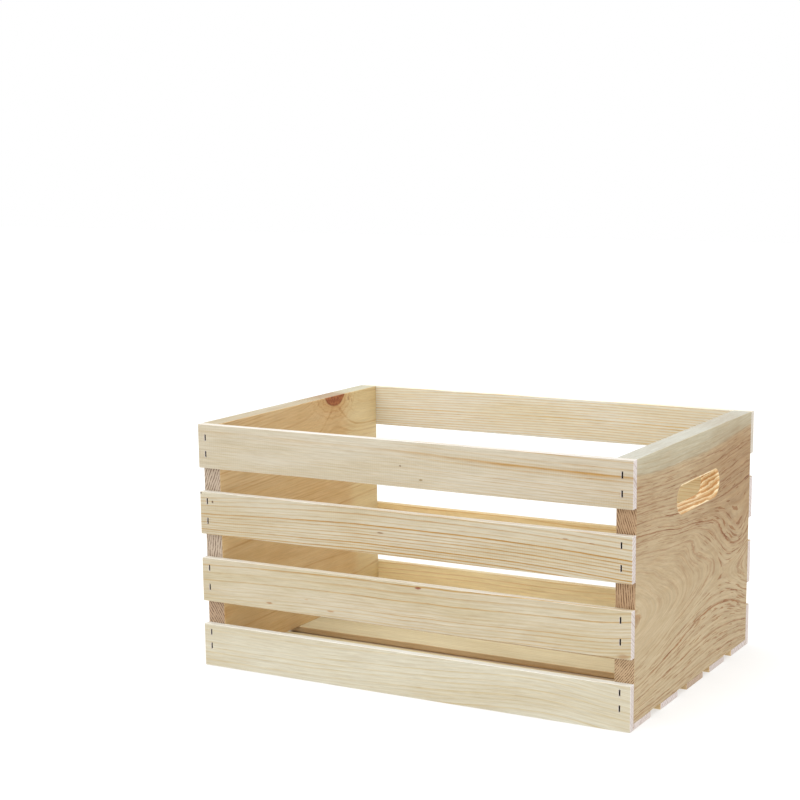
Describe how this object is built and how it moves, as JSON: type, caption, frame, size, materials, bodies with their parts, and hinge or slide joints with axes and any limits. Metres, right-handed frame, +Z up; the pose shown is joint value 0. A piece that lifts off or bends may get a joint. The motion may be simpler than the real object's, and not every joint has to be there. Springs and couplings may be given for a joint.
{
  "type": "wooden apple crate",
  "caption": "Open-topped slatted wooden crate: solid end boards with rounded hand slots, side and floor slats with air gaps between them, fixed with narrow staples.",
  "frame": {"origin": "centre of the footprint, on the plane the crate stands on", "axes": "+X along the length towards the right end panel, +Y across the width towards the back, +Z up"},
  "size_m": [0.4572, 0.3174, 0.244],
  "materials": {
    "slat_wood": "raw planed softwood, matt",
    "panel_wood": "raw planed softwood, matt",
    "floor_wood": "raw planed softwood, matt",
    "staple_steel": "bright wire, slightly dulled"
  },
  "bodies": {
    "root": {"back_slat_bottom": "slat_wood", "back_slat_lower": "slat_wood", "back_slat_top": "slat_wood", "back_slat_upper": "slat_wood", "end_panel_left": "panel_wood", "end_panel_right": "panel_wood", "floor_slat_back": "floor_wood", "floor_slat_back_middle": "floor_wood", "floor_slat_front": "floor_wood", "floor_slat_front_middle": "floor_wood", "floor_slat_middle": "floor_wood", "front_slat_bottom": "slat_wood", "front_slat_lower": "slat_wood", "front_slat_top": "slat_wood", "front_slat_upper": "slat_wood", "staple_back_bottom_left_1": "staple_steel", "staple_back_bottom_left_2": "staple_steel", "staple_back_bottom_right_1": "staple_steel", "staple_back_bottom_right_2": "staple_steel", "staple_back_lower_left_1": "staple_steel", "staple_back_lower_left_2": "staple_steel", "staple_back_lower_right_1": "staple_steel", "staple_back_lower_right_2": "staple_steel", "staple_back_top_left_1": "staple_steel", "staple_back_top_left_2": "staple_steel", "staple_back_top_right_1": "staple_steel", "staple_back_top_right_2": "staple_steel", "staple_back_upper_left_1": "staple_steel", "staple_back_upper_left_2": "staple_steel", "staple_back_upper_right_1": "staple_steel", "staple_back_upper_right_2": "staple_steel", "staple_floor_back_left": "staple_steel", "staple_floor_back_middle_left": "staple_steel", "staple_floor_back_middle_right": "staple_steel", "staple_floor_back_right": "staple_steel", "staple_floor_front_left": "staple_steel", "staple_floor_front_middle_left": "staple_steel", "staple_floor_front_middle_right": "staple_steel", "staple_floor_front_right": "staple_steel", "staple_floor_middle_left": "staple_steel", "staple_floor_middle_right": "staple_steel", "staple_front_bottom_left_1": "staple_steel", "staple_front_bottom_left_2": "staple_steel", "staple_front_bottom_right_1": "staple_steel", "staple_front_bottom_right_2": "staple_steel", "staple_front_lower_left_1": "staple_steel", "staple_front_lower_left_2": "staple_steel", "staple_front_lower_right_1": "staple_steel", "staple_front_lower_right_2": "staple_steel", "staple_front_top_left_1": "staple_steel", "staple_front_top_left_2": "staple_steel", "staple_front_top_right_1": "staple_steel", "staple_front_top_right_2": "staple_steel", "staple_front_upper_left_1": "staple_steel", "staple_front_upper_left_2": "staple_steel", "staple_front_upper_right_1": "staple_steel", "staple_front_upper_right_2": "staple_steel"}
  },
  "joints": []
}
